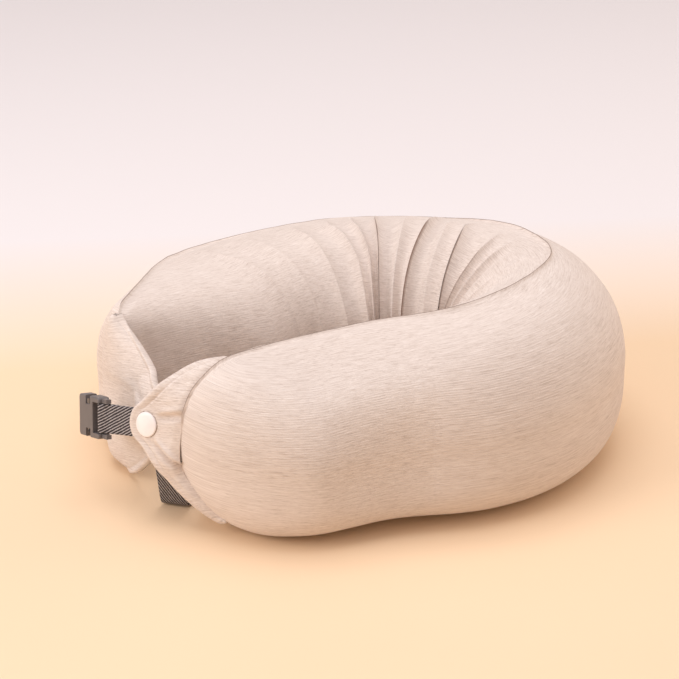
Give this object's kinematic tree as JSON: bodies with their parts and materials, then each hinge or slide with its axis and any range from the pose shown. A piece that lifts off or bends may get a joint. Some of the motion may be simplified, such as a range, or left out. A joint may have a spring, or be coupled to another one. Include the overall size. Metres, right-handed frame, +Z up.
{
  "type": "travel neck pillow",
  "caption": "Soft U shaped travel neck pillow closed at the front by snapped flaps, with a webbing strap and buckle half on each flap.",
  "frame": {"origin": "middle of the footprint, on the ground it lies on", "axes": "+X towards the back of the neck, -X towards the front closure, +Z up"},
  "size_m": [0.3002, 0.2582, 0.1011],
  "materials": {
    "jersey": "heathered soft stretch jersey",
    "liner_cloth": "plain thin stretch liner",
    "bead_filling": "expanded polystyrene micro beads",
    "webbing": "twill woven polyester webbing",
    "buckle_plastic": "fine satin moulded acetal",
    "snap_plastic": "smooth semi gloss resin snap"
  },
  "bodies": {
    "back": {"back_outer_panel": "jersey", "back_inner_panel": "jersey", "back_liner": "liner_cloth", "back_bead_fill": "bead_filling"},
    "near_arm": {"near_arm_outer_panel": "jersey", "near_arm_inner_panel": "jersey", "near_arm_liner": "liner_cloth", "near_arm_bead_fill": "bead_filling", "near_flap_root": "jersey"},
    "far_arm": {"far_arm_outer_panel": "jersey", "far_arm_inner_panel": "jersey", "far_arm_liner": "liner_cloth", "far_arm_bead_fill": "bead_filling", "far_flap_root": "jersey"},
    "near_flap": {"near_flap_outer_layer": "jersey", "near_flap_inner_layer": "jersey", "snap_cap": "snap_plastic", "snap_socket": "snap_plastic", "near_strap_tail": "webbing"},
    "far_flap": {"far_flap_outer_layer": "jersey", "far_flap_inner_layer": "jersey", "snap_stud": "snap_plastic", "snap_post": "snap_plastic", "far_strap_tail": "webbing"},
    "near_webbing": {"near_strap": "webbing"},
    "socket_half": {"buckle_socket": "buckle_plastic"},
    "far_webbing": {"far_strap": "webbing"},
    "plug_half": {"buckle_plug": "buckle_plastic"},
    "left_latch": {"latch_arm_left": "buckle_plastic"},
    "right_latch": {"latch_arm_right": "buckle_plastic"}
  },
  "joints": [
    {"name": "near_arm_spread", "type": "hinge", "parent": "back", "child": "near_arm", "pos_m": [0.08432, -0.11836, 0.04908], "axis": [0, 0, 1], "range_deg": [0, 30]},
    {"name": "far_arm_spread", "type": "hinge", "parent": "back", "child": "far_arm", "pos_m": [0.12492, 0.06334, 0.04985], "axis": [0, 0, -1], "range_deg": [0, 30]},
    {"name": "near_flap_swing", "type": "hinge", "parent": "near_arm", "child": "near_flap", "pos_m": [-0.1149, -0.06724, 0.05513], "axis": [0.1074, 0.2623, 0.959], "range_deg": [0, 80]},
    {"name": "far_flap_swing", "type": "hinge", "parent": "far_arm", "child": "far_flap", "pos_m": [-0.11888, -0.03461, 0.04665], "axis": [0.1074, 0.2623, 0.959], "range_deg": [0, 12]},
    {"name": "near_strap_swing", "type": "hinge", "parent": "near_flap", "child": "near_webbing", "pos_m": [-0.13079, -0.04298, 0.05028], "axis": [0.1074, 0.2623, 0.959], "range_deg": [-10, 70]},
    {"name": "socket_pivot", "type": "hinge", "parent": "near_webbing", "child": "socket_half", "pos_m": [-0.14082, -0.0295, 0.04771], "axis": [0.1074, 0.2623, 0.959], "range_deg": [0, 38]},
    {"name": "far_strap_swing", "type": "hinge", "parent": "far_flap", "child": "far_webbing", "pos_m": [-0.11509, -0.05578, 0.03325], "axis": [0, 0, 1], "range_deg": [-2, 12]},
    {"name": "plug_pivot", "type": "hinge", "parent": "far_webbing", "child": "plug_half", "pos_m": [-0.10018, -0.03448, 0.00356], "axis": [0.8192, -0.5736, 0], "range_deg": [0, 40]},
    {"name": "left_latch_flex", "type": "hinge", "parent": "plug_half", "child": "left_latch", "pos_m": [-0.10064, -0.02293, 0.00356], "axis": [0, 0, -1], "range_deg": [0, 8], "stiffness_Nm_per_rad": 0.05},
    {"name": "right_latch_flex", "type": "hinge", "parent": "plug_half", "child": "right_latch", "pos_m": [-0.08917, -0.03096, 0.00356], "axis": [0, 0, 1], "range_deg": [0, 8], "stiffness_Nm_per_rad": 0.05}
  ]
}
